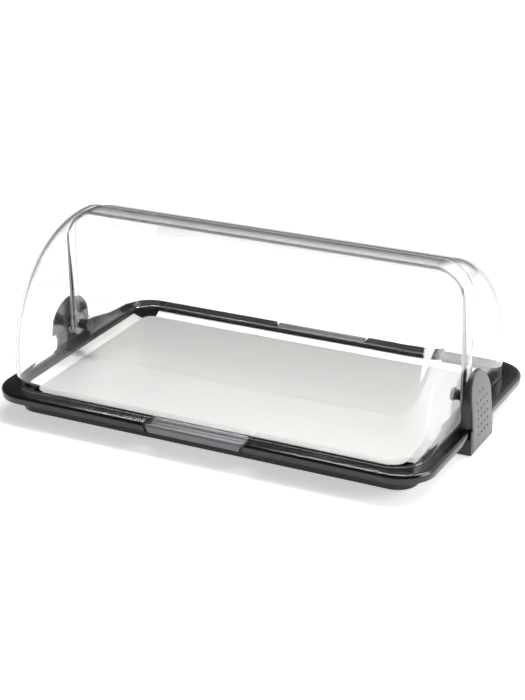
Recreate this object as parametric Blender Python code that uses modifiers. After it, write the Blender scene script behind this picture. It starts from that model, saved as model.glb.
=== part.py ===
"""Roll-top display case: a moulded base with a steel tray, under two clear quarter-barrel shells.

The case lies along X. The front is -Y and the top is +Z. The origin is at the middle of the case,
on the surface that it stands on. Both shells turn about one pair of pins, one pin in each ear.
The front shell is the outer one. It swings back over the rear shell, and the rear shell swings
forward inside it. Lengths are in metres.
"""

import math

import bmesh
import bpy
from mathutils import Matrix, Vector

MM = 0.001
HALF_TURN = math.pi
QUARTER_TURN = math.pi / 2

# Driving sizes of the case
case_length = 560 * MM
case_depth = 350 * MM
rim_top = 31 * MM
pivot_height = 57 * MM
shell_inset = 14.5 * MM

# Clearances and overruns
seat_gap = 0.3 * MM
weld_distance = 0.003 * MM
cut_overrun = 5 * MM

# Rim and body of the base
corner_radius = 43 * MM
rim_wall = 2.8 * MM
rim_round = 3.5 * MM
lip_bottom = 20.5 * MM
lip_draft = 0.6 * MM
seat_inset = 26 * MM
seat_round = 1 * MM
ledge_top = 22.3 * MM
ledge_inset = 38 * MM
body_inset = 23 * MM
body_draft = 0.8 * MM
body_corner_radius = 26 * MM
body_bottom = 1.5 * MM
well_bottom = 3 * MM

# Feet
foot_radius = 9 * MM
foot_chamfer = 0.6 * MM
foot_inset = 20 * MM

# Steel tray
sheet = 0.9 * MM
flange_width = 15 * MM
flange_rise = 3 * MM
tray_clearance = 0.5 * MM
tray_corner = 13 * MM
flange_splay = 3 * MM

# Shells
shell_wall = 3 * MM
shell_gap = 2 * MM
shell_fillet = 40 * MM
front_overlap = 6 * MM
rear_overlap = 14 * MM
lobe_radius = 14 * MM
lobe_relief = 22 * MM
relief_round = 6 * MM
hub_radius = 9 * MM
hub_boss = 0.8 * MM

# Pins and washers
pin_radius = 4 * MM
pin_running_gap = 0.3 * MM
knob_radius = 6.2 * MM
knob_length = 11 * MM
head_radius = 8 * MM
head_thickness = 3.2 * MM
head_round = 1 * MM
pin_seat_depth = 7 * MM
pin_chamfer = 1 * MM
washer_radius = 8.4 * MM
washer_thickness = 1.7 * MM

# Ears
ear_half_width = 36 * MM
ear_face_half_width = 29.5 * MM
ear_top = 91 * MM
ear_shoulder = 58 * MM
ear_plate = 3.2 * MM
ear_lean = 9 * MM
ear_lean_power = 3
ear_bottom = 2.5 * MM
ear_chamfer = 1.2 * MM
ear_boss_radius = 9.5 * MM
ear_boss_height = 0.9 * MM
ear_panel_margin = 6 * MM
ear_panel_depth = 2.5 * MM
bracket_half_width = 35 * MM
bracket_setback = 0.7 * MM
bracket_bottom = 0.5 * MM
hook_wall = 2.6 * MM
block_top = 17.5 * MM
dimple_radius = 2.1 * MM
dimple_floor_radius = 1.1 * MM
dimple_depth = 0.7 * MM
dimple_pitch = 9.7 * MM
dimple_columns = 4
dimple_rows = 6
dimple_lowest = 19.5 * MM
dimple_sides = 10

# Grips
grip_half_length = 58 * MM
grip_notch = 3.4 * MM
grip_taper = 3 * MM
grip_wall = 2.6 * MM
grip_depth = 15.5 * MM
grip_scoop = 4.2 * MM
grip_lip_drop = 1.2 * MM
grip_corner = 3 * MM
grip_rib = 0.5 * MM
grip_rib_count = 4
grip_tongue = 1.2 * MM

# Steps round curves
corner_steps = 8
small_round_steps = 4
lobe_steps = 16
barrel_steps = 72
fillet_steps = 7
pin_steps = 24
ear_steps = 24
ear_side_steps = 4

# Values worked out from the driving sizes
half_length = case_length / 2
half_depth = case_depth / 2
web_bottom = rim_top - rim_wall
well_floor = well_bottom + rim_wall
barrel_radius = half_depth - shell_inset
inner_radius = barrel_radius - shell_wall - shell_gap
outer_end = half_length - shell_inset
inner_end = outer_end - shell_wall - shell_gap
shell_bottom = rim_top + seat_gap
hub_face = outer_end + hub_boss
inner_hub_face = inner_end - shell_wall - hub_boss
outer_washer_face = hub_face + seat_gap
ear_boss_face = outer_washer_face + washer_thickness + seat_gap
ear_inner = ear_boss_face + ear_boss_height
ear_outer = half_length + seat_gap + ear_plate


def clear_scene():
    """Remove every object that the file opened with."""
    for thing in list(bpy.data.objects):
        bpy.data.objects.remove(thing, do_unlink=True)


clear_scene()
case = bpy.data.collections.new("roll_top_display_case")
cutters = bpy.data.collections.new("cutters")
bpy.context.scene.collection.children.link(case)
bpy.context.scene.collection.children.link(cutters)


def make_material(name, colour, roughness, metallic=0.0, alpha=1.0):
    """Return a Principled material of one colour."""
    material = bpy.data.materials.new(name)
    material.use_nodes = True
    shader = material.node_tree.nodes["Principled BSDF"]
    shader.inputs["Base Color"].default_value = (*colour, 1.0)
    shader.inputs["Roughness"].default_value = roughness
    shader.inputs["Metallic"].default_value = metallic
    shader.inputs["Alpha"].default_value = alpha
    return material


black_plastic = make_material("gloss_black_plastic", (0.012, 0.012, 0.013), 0.16)
grey_plastic = make_material("satin_grey_plastic", (0.09, 0.09, 0.093), 0.42)
pin_plastic = make_material("black_pin_plastic", (0.02, 0.02, 0.021), 0.35)
clear_plastic = make_material("clear_plastic", (0.95, 0.96, 0.97), 0.04, alpha=0.22)
washer_plastic = make_material("natural_nylon", (0.82, 0.82, 0.79), 0.5)
steel = make_material("brushed_stainless_steel", (0.62, 0.62, 0.63), 0.3, metallic=1.0)
rubber = make_material("black_rubber", (0.02, 0.02, 0.02), 0.8)


def link_part(name, mesh, material, smooth_angle=30.0):
    """Add a mesh as a named part, shaded smooth up to a sharp angle."""
    part = bpy.data.objects.new(name, mesh)
    mesh.materials.clear()
    mesh.materials.append(material)
    mesh.shade_smooth()
    mesh.set_sharp_from_angle(angle=math.radians(smooth_angle))
    case.objects.link(part)
    return part


def link_cutter(name, mesh):
    """Add a mesh as a cutter, which is not drawn as part of the case."""
    cutter = bpy.data.objects.new(name, mesh)
    cutter.hide_render = True
    cutter.display_type = "WIRE"
    cutters.objects.link(cutter)
    return cutter


def mesh_from(bm, name):
    """Turn a bmesh into a mesh with its faces pointing out."""
    bmesh.ops.recalc_face_normals(bm, faces=bm.faces)
    if bm.calc_volume(signed=True) < 0:
        bmesh.ops.reverse_faces(bm, faces=bm.faces)
    mesh = bpy.data.meshes.new(name)
    bm.to_mesh(mesh)
    bm.free()
    return mesh


def boolean(part, cutter, operation):
    """Cut, join or intersect a part with a cutter."""
    step = part.modifiers.new(cutter.name, "BOOLEAN")
    step.operation = operation
    step.object = cutter
    step.solver = "EXACT"


def arc(centre, radius, start, end, steps):
    """Points of an arc in a plane, from one angle to another, in radians."""
    points = []
    for index in range(steps + 1):
        angle = start + (end - start) * index / steps
        points.append((centre[0] + radius * math.cos(angle), centre[1] + radius * math.sin(angle)))
    return points


def rounded_rectangle(half_x, half_y, radius):
    """Points of a rounded rectangle round the origin, anticlockwise."""
    points = []
    for quarter, (side_x, side_y) in enumerate(((1, 1), (-1, 1), (-1, -1), (1, -1))):
        centre = (side_x * (half_x - radius), side_y * (half_y - radius))
        start = quarter * QUARTER_TURN
        points += arc(centre, radius, start, start + QUARTER_TURN, corner_steps)
    return points


def loft(name, sections):
    """Skin loops of equal count one after another, and cap both ends."""
    bm = bmesh.new()
    loops = [[bm.verts.new(point) for point in points] for points in sections]
    for low, high in zip(loops, loops[1:]):
        for index in range(len(low)):
            bm.faces.new((low[index - 1], low[index], high[index], high[index - 1]))
    bm.faces.new(loops[0])
    bm.faces.new(loops[-1])
    return mesh_from(bm, name)


def prism(name, outline, low, high, place):
    """Extrude a flat outline between two distances; place turns (u, v, w) into a point."""
    curve = bpy.data.curves.new(name + "_outline", "CURVE")
    curve.dimensions = "2D"
    curve.fill_mode = "BOTH"
    curve.extrude = (high - low) / 2
    spline = curve.splines.new("POLY")
    spline.points.add(len(outline) - 1)
    for point, (u, v) in zip(spline.points, outline):
        point.co = (u, v, 0.0, 1.0)
    spline.use_cyclic_u = True
    holder = bpy.data.objects.new(name + "_holder", curve)
    cutters.objects.link(holder)
    bpy.context.view_layer.update()
    graph = bpy.context.evaluated_depsgraph_get()
    mesh = bpy.data.meshes.new_from_object(holder.evaluated_get(graph))
    bpy.data.objects.remove(holder, do_unlink=True)
    bpy.data.curves.remove(curve)
    bm = bmesh.new()
    bm.from_mesh(mesh)
    bpy.data.meshes.remove(mesh)
    bmesh.ops.remove_doubles(bm, verts=bm.verts, dist=weld_distance)
    for vert in bm.verts:
        vert.co = place(vert.co.x, vert.co.y, vert.co.z + (high + low) / 2)
    return mesh_from(bm, name)


def along_x(u, v, w):
    """Outline in the YZ plane, extruded along X."""
    return Vector((w, u, v))


def along_y(u, v, w):
    """Outline in the XZ plane, extruded along Y."""
    return Vector((u, w, v))


def box(name, low, high):
    """A box between two corners."""
    bm = bmesh.new()
    bmesh.ops.create_cube(bm, size=1.0)
    size = [b - a for a, b in zip(low, high)]
    middle = [(a + b) / 2 for a, b in zip(low, high)]
    bmesh.ops.scale(bm, vec=size, verts=bm.verts)
    bmesh.ops.translate(bm, vec=middle, verts=bm.verts)
    return mesh_from(bm, name)


def cylinder(name, radius, low, high, place):
    """A cylinder along Z between two distances, moved to its place."""
    bm = bmesh.new()
    middle = Matrix.Translation((0.0, 0.0, (low + high) / 2))
    bmesh.ops.create_cone(bm, cap_ends=True, segments=pin_steps, radius1=radius, radius2=radius,
                          depth=high - low, matrix=place @ middle)
    return mesh_from(bm, name)


def turned(name, profile, steps, closed=False):
    """Turn a profile of (radius, distance) points about X with a Screw modifier."""
    bm = bmesh.new()
    verts = [bm.verts.new((distance, 0.0, radius)) for radius, distance in profile]
    for first, second in zip(verts, verts[1:]):
        bm.edges.new((first, second))
    if closed:
        bm.edges.new((verts[-1], verts[0]))
    mesh = bpy.data.meshes.new(name)
    bm.to_mesh(mesh)
    bm.free()
    holder = bpy.data.objects.new(name + "_holder", mesh)
    cutters.objects.link(holder)
    screw = holder.modifiers.new("turn", "SCREW")
    screw.axis = "X"
    screw.steps = steps
    screw.render_steps = steps
    screw.use_merge_vertices = True
    screw.merge_threshold = weld_distance
    bpy.context.view_layer.update()
    graph = bpy.context.evaluated_depsgraph_get()
    result = bpy.data.meshes.new_from_object(holder.evaluated_get(graph))
    bpy.data.objects.remove(holder, do_unlink=True)
    bpy.data.meshes.remove(mesh)
    bm = bmesh.new()
    bm.from_mesh(result)
    bpy.data.meshes.remove(result)
    bmesh.ops.remove_doubles(bm, verts=bm.verts, dist=weld_distance)
    return mesh_from(bm, name)


def rim_section():
    """The base from its well floor, over the rim and back to the well's underside: (inset, height)."""
    body_wall = body_inset + rim_wall
    well_wall = ledge_inset - rim_wall
    ledge_bottom = ledge_top - rim_wall
    steps = small_round_steps
    seat_edge = arc((seat_inset - seat_round, rim_top - seat_round), seat_round, 0.0, QUARTER_TURN, steps)
    outer_edge = arc((rim_round, rim_top - rim_round), rim_round, QUARTER_TURN, HALF_TURN, steps)
    section = [(ledge_inset, well_floor), (ledge_inset, ledge_top), (seat_inset, ledge_top)]
    section += seat_edge
    section += outer_edge
    section += [
        (lip_draft, lip_bottom),
        (rim_wall, lip_bottom),
        (rim_wall, web_bottom),
        (body_inset, web_bottom),
        (body_inset + body_draft, body_bottom),
        (body_wall + body_draft, body_bottom),
        (body_wall, ledge_bottom),
        (well_wall, ledge_bottom),
        (well_wall, well_bottom),
    ]
    return section


def base_section_loop(inset, height):
    """The rounded rectangle that the rim follows at one point of its section."""
    radius = corner_radius - inset
    if inset >= body_inset:
        radius = body_corner_radius - (inset - body_inset)
    points = rounded_rectangle(half_length - inset, half_depth - inset, radius)
    return [(x, y, height) for x, y in points]


def foot_places():
    """Centres of the four feet, under the corners of the well."""
    reach_x = half_length - ledge_inset - foot_inset
    reach_y = half_depth - ledge_inset - foot_inset
    return [(x, y) for x in (-reach_x, reach_x) for y in (-reach_y, reach_y)]


def notch_outline(half, depth_low):
    """The window that a grip fills in the rim, wider at its top, as seen from the front."""
    top = rim_top + cut_overrun
    rise = (top - depth_low) / (rim_top - lip_bottom)
    flare = grip_taper * rise
    return [(-half, depth_low), (half, depth_low), (half + flare, top), (-half - flare, top)]


def make_base():
    """The black base: rim, seat for the tray, well, skirt and the two windows for the grips."""
    loops = [base_section_loop(inset, height) for inset, height in rim_section()]
    base = link_part("base_tray", loft("base_tray", loops), black_plastic)
    for side, name in ((-1, "front"), (1, "rear")):
        outline = notch_outline(grip_half_length + grip_notch, lip_bottom - cut_overrun)
        near = side * (half_depth - grip_depth)
        far = side * (half_depth + cut_overrun)
        window = prism("window", outline, min(near, far), max(near, far), along_y)
        boolean(base, link_cutter(f"{name}_window", window), "DIFFERENCE")
    return base


def make_foot(name, centre):
    """A round rubber foot under the well floor, chamfered where it meets the table."""
    top = well_bottom - seat_gap
    profile = [
        (0.0, 0.0),
        (foot_radius - foot_chamfer, 0.0),
        (foot_radius, foot_chamfer),
        (foot_radius, top),
        (0.0, top),
    ]
    mesh = turned(name, profile, pin_steps)
    mesh.transform(Matrix.Rotation(-QUARTER_TURN, 4, "Y"))
    foot = link_part(name, mesh, rubber)
    foot.location = (centre[0], centre[1], 0.0)
    return foot


def make_steel_tray():
    """Folded sheet: a flat floor with a raised flange on each side, open at its corners."""
    outer_x = half_length - seat_inset - tray_clearance
    outer_y = half_depth - seat_inset - tray_clearance
    floor_x = outer_x - flange_width
    floor_y = outer_y - flange_width
    floor_z = ledge_top + seat_gap + sheet
    top_z = floor_z + flange_rise
    bm = bmesh.new()
    verts = [bm.verts.new((x, y, floor_z)) for x, y in rounded_rectangle(floor_x, floor_y, tray_corner)]
    bm.faces.new(verts)
    bm.verts.ensure_lookup_table()
    count = corner_steps + 1
    for quarter in range(4):
        first = verts[quarter * count - 1]
        second = verts[quarter * count]
        outward = Vector((1, 0, 0)) if quarter % 2 == 0 else Vector((0, 1, 0))
        outward = outward if quarter in (0, 1) else -outward
        run = (second.co - first.co).normalized()
        step = outward * flange_width + Vector((0, 0, top_z - floor_z))
        far_first = bm.verts.new(first.co + step - run * flange_splay)
        far_second = bm.verts.new(second.co + step + run * flange_splay)
        bm.faces.new((first, far_first, far_second, second))
    mesh = bpy.data.meshes.new("steel_tray")
    bmesh.ops.recalc_face_normals(bm, faces=bm.faces)
    if bm.faces[0].normal.z < 0:
        bmesh.ops.reverse_faces(bm, faces=bm.faces)
    bm.to_mesh(mesh)
    bm.free()
    tray = link_part("steel_tray", mesh, steel)
    thicken = tray.modifiers.new("sheet", "SOLIDIFY")
    thicken.thickness = sheet
    thicken.offset = -1.0
    thicken.use_even_offset = True
    return tray


def drum_section(radius, end, fillet, bore, boss_out, boss_in):
    """Half of a hollow drum's closed section, from the bore out and back, as (radius, distance)."""
    wall = shell_wall
    outside = [(bore, end + boss_out), (hub_radius, end + boss_out), (hub_radius, end)]
    outside += [(r, x) for x, r in arc((end - fillet, radius - fillet), fillet, 0.0, QUARTER_TURN,
                                       fillet_steps)]
    inside = [(r, x) for x, r in arc((end - fillet, radius - fillet), fillet - wall, QUARTER_TURN, 0.0,
                                     fillet_steps)]
    inside += [(hub_radius, end - wall), (hub_radius, end - wall - boss_in), (bore, end - wall - boss_in)]
    if not boss_out:
        outside = [outside[0]] + outside[3:]
    if not boss_in:
        inside = inside[:-3] + [inside[-1]]
    return outside, inside


def make_shell(name, radius, end, fillet, overlap, side, boss_out, boss_in):
    """A quarter-barrel shell: a turned hollow drum, kept on one side of its pins."""
    bore = pin_radius + pin_running_gap
    outside, inside = drum_section(radius, end, fillet, bore, boss_out, boss_in)
    mirrored_outside = [(r, -x) for r, x in reversed(outside)]
    mirrored_inside = [(r, -x) for r, x in reversed(inside)]
    profile = outside + mirrored_outside + mirrored_inside + inside
    drum = turned(name, profile, barrel_steps, closed=True)
    shell = link_part(name, drum, clear_plastic)
    shell.location = (0.0, 0.0, pivot_height)

    drop = pivot_height - shell_bottom
    reach = radius + cut_overrun
    lobe_start = HALF_TURN - math.acos(min(1.0, overlap / lobe_radius))
    relief = (lobe_relief - relief_round, -relief_round)
    outline = [(-overlap, reach)]
    outline += arc((0.0, 0.0), lobe_radius, lobe_start, 2 * HALF_TURN, lobe_steps)
    outline += arc(relief, relief_round, QUARTER_TURN, 0.0, small_round_steps)
    outline += [(lobe_relief, -drop), (reach, -drop), (reach, reach)]
    outline = [(side * u, v) for u, v in outline]
    keep = prism(name + "_keep", outline, -end - cut_overrun, end + cut_overrun, along_x)
    keeper = link_cutter(name + "_keep", keep)
    keeper.location = (0.0, 0.0, pivot_height)
    boolean(shell, keeper, "INTERSECT")
    return shell


def make_pin(name, side):
    """A pivot pin: a flanged head and a knob inside the case, and a shaft out into the ear."""
    knob_face = inner_hub_face - seat_gap
    knob_end = knob_face - knob_length
    head_end = knob_end - head_thickness
    tip = ear_inner + pin_seat_depth
    rounding = arc((head_radius - head_round, head_end + head_round), head_round, -QUARTER_TURN, 0.0,
                   small_round_steps)
    profile = [(0.0, head_end)]
    profile += rounding
    profile += [
        (head_radius, knob_end),
        (knob_radius, knob_end),
        (knob_radius, knob_face),
        (pin_radius, knob_face),
        (pin_radius, tip - pin_chamfer),
        (pin_radius - pin_chamfer, tip),
        (0.0, tip),
    ]
    mesh = turned(name, profile, pin_steps)
    if side < 0:
        mesh.transform(Matrix.Rotation(HALF_TURN, 4, "Z"))
    pin = link_part(name, mesh, pin_plastic)
    pin.location = (0.0, 0.0, pivot_height)
    return pin


def make_washer(name, low, high, side):
    """A flat ring on the pin's shaft."""
    bore = pin_radius + pin_running_gap
    profile = [(bore, low), (washer_radius, low), (washer_radius, high), (bore, high)]
    mesh = turned(name, profile, pin_steps, closed=True)
    if side < 0:
        mesh.transform(Matrix.Rotation(HALF_TURN, 4, "Z"))
    washer = link_part(name, mesh, washer_plastic)
    washer.location = (0.0, 0.0, pivot_height)
    return washer


def ear_outline(half, low, shrink):
    """The ear's side view: straight sides under half an ellipse, less a margin round the top."""
    half = half - shrink
    rise = ear_top - ear_shoulder - shrink
    levels = [low + (ear_shoulder - low) * index / ear_side_steps for index in range(ear_side_steps)]
    points = [(-half, level) for level in levels]
    for index in range(ear_steps + 1):
        angle = HALF_TURN * (1 - index / ear_steps)
        points.append((half * math.cos(angle), ear_shoulder + rise * math.sin(angle)))
    return points + [(half, level) for level in reversed(levels)]


def ear_face(z):
    """How far out the ear's outer face lies at a height; it leans in towards its top."""
    return ear_outer - ear_lean * (z / ear_top) ** ear_lean_power


def ear_body(name):
    """The ear's leaning plate, narrower outside than inside, with its two faces in strips."""
    thickness = ear_outer - ear_inner
    edge = ear_chamfer / thickness
    bm = bmesh.new()
    loops = []
    for share, shrink in ((0.0, ear_chamfer), (edge, 0.0), (1 - edge, 0.0), (1.0, ear_chamfer)):
        half = ear_half_width + (ear_face_half_width - ear_half_width) * share
        outline = ear_outline(half, ear_bottom, shrink)
        loops.append([bm.verts.new((ear_inner + (ear_face(z) - ear_inner) * share, y, z))
                      for y, z in outline])
    for low, high in zip(loops, loops[1:]):
        for index in range(len(low)):
            bm.faces.new((low[index - 1], low[index], high[index], high[index - 1]))
    for face in (loops[0], loops[-1]):
        last = len(face) - 1
        for index in range(last // 2):
            strip = [face[index], face[index + 1], face[last - index - 1], face[last - index]]
            bm.faces.new(list(dict.fromkeys(strip)))
    bmesh.ops.triangulate(bm, faces=bm.faces)
    return mesh_from(bm, name)


def make_ear(name, side):
    """An ear: a tall leaning plate on a bracket that hooks round the rim's lip and carries a pin."""
    ear = link_part(name, ear_body(name), grey_plastic)
    wide = ear_half_width + cut_overrun
    lip_low = lip_bottom - seat_gap
    web_low = web_bottom - seat_gap
    lip_skin = half_length + seat_gap
    channel = half_length - rim_wall - seat_gap
    hook = channel - hook_wall
    block_inner = half_length - body_inset + seat_gap
    inside = ear_inner - cut_overrun
    under = box("under", (inside, -wide, ear_bottom - cut_overrun), (hook, wide, web_low))
    boolean(ear, link_cutter(name + "_under", under), "DIFFERENCE")
    bracket = box("bracket", (block_inner, -bracket_half_width, bracket_bottom),
                  (ear_outer - bracket_setback, bracket_half_width, rim_top))
    boolean(ear, link_cutter(name + "_bracket", bracket), "UNION")
    rim_space = [
        (block_inner - cut_overrun, block_top),
        (hook, block_top),
        (hook, web_low),
        (channel, web_low),
        (channel, lip_low),
        (lip_skin, lip_low),
        (lip_skin, rim_top + seat_gap),
        (block_inner - cut_overrun, rim_top + seat_gap),
    ]
    space = prism(name + "_rim_space", rim_space, -wide, wide, along_y)
    boolean(ear, link_cutter(name + "_rim_space", space), "DIFFERENCE")
    panel_low = rim_top + seat_gap + ear_panel_margin
    panel = prism(name + "_panel", ear_outline(ear_half_width, panel_low, ear_panel_margin), inside,
                  ear_inner + ear_panel_depth, along_x)
    boolean(ear, link_cutter(name + "_panel", panel), "DIFFERENCE")

    sideways = Matrix.Translation((0.0, 0.0, pivot_height)) @ Matrix.Rotation(QUARTER_TURN, 4, "Y")
    boss = cylinder("boss", ear_boss_radius, ear_boss_face, ear_inner + pin_seat_depth, sideways)
    boolean(ear, link_cutter(name + "_boss", boss), "UNION")
    bore = cylinder("bore", pin_radius + seat_gap, ear_boss_face - cut_overrun,
                    ear_inner + pin_seat_depth + seat_gap, sideways)
    boolean(ear, link_cutter(name + "_bore", bore), "DIFFERENCE")

    dimples = bmesh.new()
    for row in range(dimple_rows):
        for column in range(dimple_columns):
            if row == dimple_rows - 1 and column in (0, dimple_columns - 1):
                continue
            y = column * dimple_pitch - (dimple_columns - 1) * dimple_pitch / 2
            z = dimple_lowest + row * dimple_pitch
            where = Matrix.Translation((ear_face(z), y, z)) @ Matrix.Rotation(QUARTER_TURN, 4, "Y")
            bmesh.ops.create_cone(dimples, cap_ends=True, segments=dimple_sides,
                                  radius1=dimple_floor_radius,
                                  radius2=2 * dimple_radius - dimple_floor_radius,
                                  depth=2 * dimple_depth, matrix=where)
    boolean(ear, link_cutter(name + "_dimples", mesh_from(dimples, "dimples")), "DIFFERENCE")

    if side < 0:
        half_round = Matrix.Rotation(HALF_TURN, 4, "Z")
        ear.matrix_world = half_round
        for step in ear.modifiers:
            step.object.matrix_world = half_round
    return ear


def grip_section():
    """A grip's section as (inset, height): a ribbed scoop, an outer face and a tongue under the rim."""
    inner = grip_depth - seat_gap
    top = rim_top
    lip = rim_top - grip_lip_drop
    scoop_start = inner - grip_wall
    scoop_end = grip_wall
    points = [(inner, top)]
    steps = grip_rib_count * 4
    for index in range(steps + 1):
        share = index / steps
        inset = scoop_start + (scoop_end - scoop_start) * share
        dip = math.sin(HALF_TURN * share) * grip_scoop
        rib = grip_rib * (0.5 - 0.5 * math.cos(2 * HALF_TURN * share * grip_rib_count))
        height = top + (lip - top) * share - dip + rib
        points.append((inset, height))
    points += arc((grip_wall, lip - grip_wall), grip_wall, QUARTER_TURN, HALF_TURN, small_round_steps)[1:]
    floor = top - grip_scoop - grip_wall
    points += [
        (lip_draft, lip_bottom),
        (lip_draft + grip_wall, lip_bottom),
        (lip_draft + grip_wall, floor - grip_wall),
        (inner + grip_tongue, floor - grip_wall),
        (inner + grip_tongue, web_bottom - seat_gap),
        (inner, web_bottom - seat_gap),
    ]
    return points


def make_grip(name, side):
    """A grip insert: its section run along X, with its ends tapered and its top corners rounded."""
    section = [(side * (half_depth - inset), height) for inset, height in grip_section()]
    reach = grip_half_length + grip_taper
    grip = link_part(name, prism(name, section, -reach, reach, along_x), grey_plastic)
    rise = rim_top - lip_bottom
    lean = math.atan2(grip_taper, rise)
    corner = (grip_half_length + grip_taper - grip_corner, rim_top - grip_corner)
    right = [(grip_half_length, lip_bottom - cut_overrun)]
    right.append((grip_half_length, lip_bottom))
    right += arc(corner, grip_corner, -lean, QUARTER_TURN, small_round_steps)
    outline = right + [(-u, v) for u, v in reversed(right)]
    far = side * (half_depth + cut_overrun)
    near = side * (half_depth - grip_depth - grip_tongue - cut_overrun)
    keep = prism(name + "_ends", outline, min(near, far), max(near, far), along_y)
    boolean(grip, link_cutter(name + "_ends", keep), "INTERSECT")
    return grip


make_base()
make_steel_tray()
for foot_number, foot_centre in enumerate(foot_places(), start=1):
    make_foot(f"foot_{foot_number}", foot_centre)
make_shell("front_shell", barrel_radius, outer_end, shell_fillet, front_overlap, -1, hub_boss, 0.0)
make_shell("rear_shell", inner_radius, inner_end, shell_fillet - shell_wall - shell_gap, rear_overlap, 1,
           0.0, hub_boss)
for pin_side, pin_name in ((-1, "left"), (1, "right")):
    make_ear(f"{pin_name}_ear", pin_side)
    make_pin(f"{pin_name}_pin", pin_side)
    make_washer(f"{pin_name}_outer_washer", outer_washer_face, ear_boss_face - seat_gap, pin_side)
    make_washer(f"{pin_name}_inner_washer", inner_end + seat_gap, outer_end - shell_wall - seat_gap,
                pin_side)
make_grip("front_grip", -1)
make_grip("rear_grip", 1)
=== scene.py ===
# %% [markdown]
# # Roll-top display case
# A catering display case has a moulded base with a steel tray on it and two clear shells that roll
# back on side pins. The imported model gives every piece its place. This script gives them finer
# surfaces and real finishes, and then lights them like a catalogue picture.
# We load the fixed frame first, because everything else is placed by it.

import math

import bmesh
import bpy
from mathutils import Matrix, Vector


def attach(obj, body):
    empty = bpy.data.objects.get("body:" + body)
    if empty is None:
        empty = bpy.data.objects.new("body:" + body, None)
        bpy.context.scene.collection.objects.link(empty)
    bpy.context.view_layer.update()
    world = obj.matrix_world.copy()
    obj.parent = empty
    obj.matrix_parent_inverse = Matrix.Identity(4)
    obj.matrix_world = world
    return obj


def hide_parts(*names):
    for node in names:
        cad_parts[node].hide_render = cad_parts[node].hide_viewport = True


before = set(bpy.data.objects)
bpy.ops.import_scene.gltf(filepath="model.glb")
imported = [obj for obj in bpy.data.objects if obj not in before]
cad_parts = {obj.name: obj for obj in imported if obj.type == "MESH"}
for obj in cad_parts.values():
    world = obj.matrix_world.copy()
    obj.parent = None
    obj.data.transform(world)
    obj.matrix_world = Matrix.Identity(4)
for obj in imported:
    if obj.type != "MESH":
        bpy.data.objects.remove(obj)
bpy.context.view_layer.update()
print("nodes:", len(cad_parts))

# %% [markdown]
# ## Sizes
# The looks must fit the solids to a hair, so the same sizes are named here, in metres.
# Small edge roundings are extra: the solids leave them out, but they catch the light on a real part.

# %% Name the sizes
MM = 0.001
QUARTER_TURN = math.pi / 2
HALF_TURN = math.pi

half_length = 280 * MM
half_depth = 175 * MM
rim_top = 31 * MM
pivot_height = 57 * MM
shell_inset = 14.5 * MM
seat_gap = 0.3 * MM
overrun = 5 * MM

corner_radius = 43 * MM
rim_wall = 2.8 * MM
rim_round = 3.5 * MM
lip_bottom = 20.5 * MM
lip_draft = 0.6 * MM
seat_inset = 26 * MM
seat_round = 1 * MM
ledge_top = 22.3 * MM
ledge_inset = 38 * MM
body_inset = 23 * MM
body_draft = 0.8 * MM
body_corner_radius = 26 * MM
body_bottom = 1.5 * MM
well_bottom = 3 * MM
well_floor = well_bottom + rim_wall
web_bottom = rim_top - rim_wall
print("case", round(2 * half_length / MM), "by", round(2 * half_depth / MM), "mm")

# %% [markdown]
# ## A helper for colours and a helper for nodes
# Paint shops and web pages give colours as sRGB hex values, but light adds up in linear values.
# One function does the change. A second one adds a node with its settings and its links, so that
# each material below reads as a short list.

# %% Colour and node helpers
def linear(hex_colour):
    """An sRGB hex colour as linear red, green, blue and alpha."""
    channels = [int(hex_colour[i:i + 2], 16) / 255 for i in (1, 3, 5)]
    curve = [c / 12.92 if c <= 0.04045 else ((c + 0.055) / 1.055) ** 2.4 for c in channels]
    return (*curve, 1.0)


def add_node(tree, kind, settings=None, links=None):
    """Add one node, set its options and its sockets by name, and link sockets to it."""
    node = tree.nodes.new(kind)
    for name, value in (settings or {}).items():
        if hasattr(node, name):
            setattr(node, name, value)
        else:
            node.inputs[name].default_value = value
    for name, source in (links or {}).items():
        tree.links.new(source, node.inputs[name])
    return node


def new_finish(name, colour, roughness, metallic=0.0, ior=1.5):
    """A material with one Principled shader, and its node tree."""
    material = bpy.data.materials.new(name)
    material.use_nodes = True
    shader = material.node_tree.nodes["Principled BSDF"]
    shader.inputs["Base Color"].default_value = linear(colour)
    shader.inputs["Roughness"].default_value = roughness
    shader.inputs["Metallic"].default_value = metallic
    shader.inputs["IOR"].default_value = ior
    return material, material.node_tree, shader


print("mid grey is", round(linear("#808080")[0], 3), "in linear light")

# %% [markdown]
# ## Clear shells: injection-moulded SAN
# Hoods like these are moulded from SAN or polycarbonate, both water clear. The Principled shader
# with full transmission bends light through the real 3 mm wall. Where we look along the wall, the
# base colour is painted darker, down to near black: a painted shade that draws the dark outline of
# the shells, much darker than the slight tint of the longer way through the wall. A faint change in
# roughness stands for the film that wiping leaves. The free edges are trimmed and left a little
# matt: a mask picks the faces near the middle that look forwards or backwards.

# %% Clear plastic
trim_zone = 20 * MM
trim_facing = 0.8
trim_roughness = 0.4
trim_clearness = 0.35

clear_san, tree, shader = new_finish("moulded_clear_san", "#fcfdfd", 0.0, ior=1.57)
place = add_node(tree, "ShaderNodeTexCoord")
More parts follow.
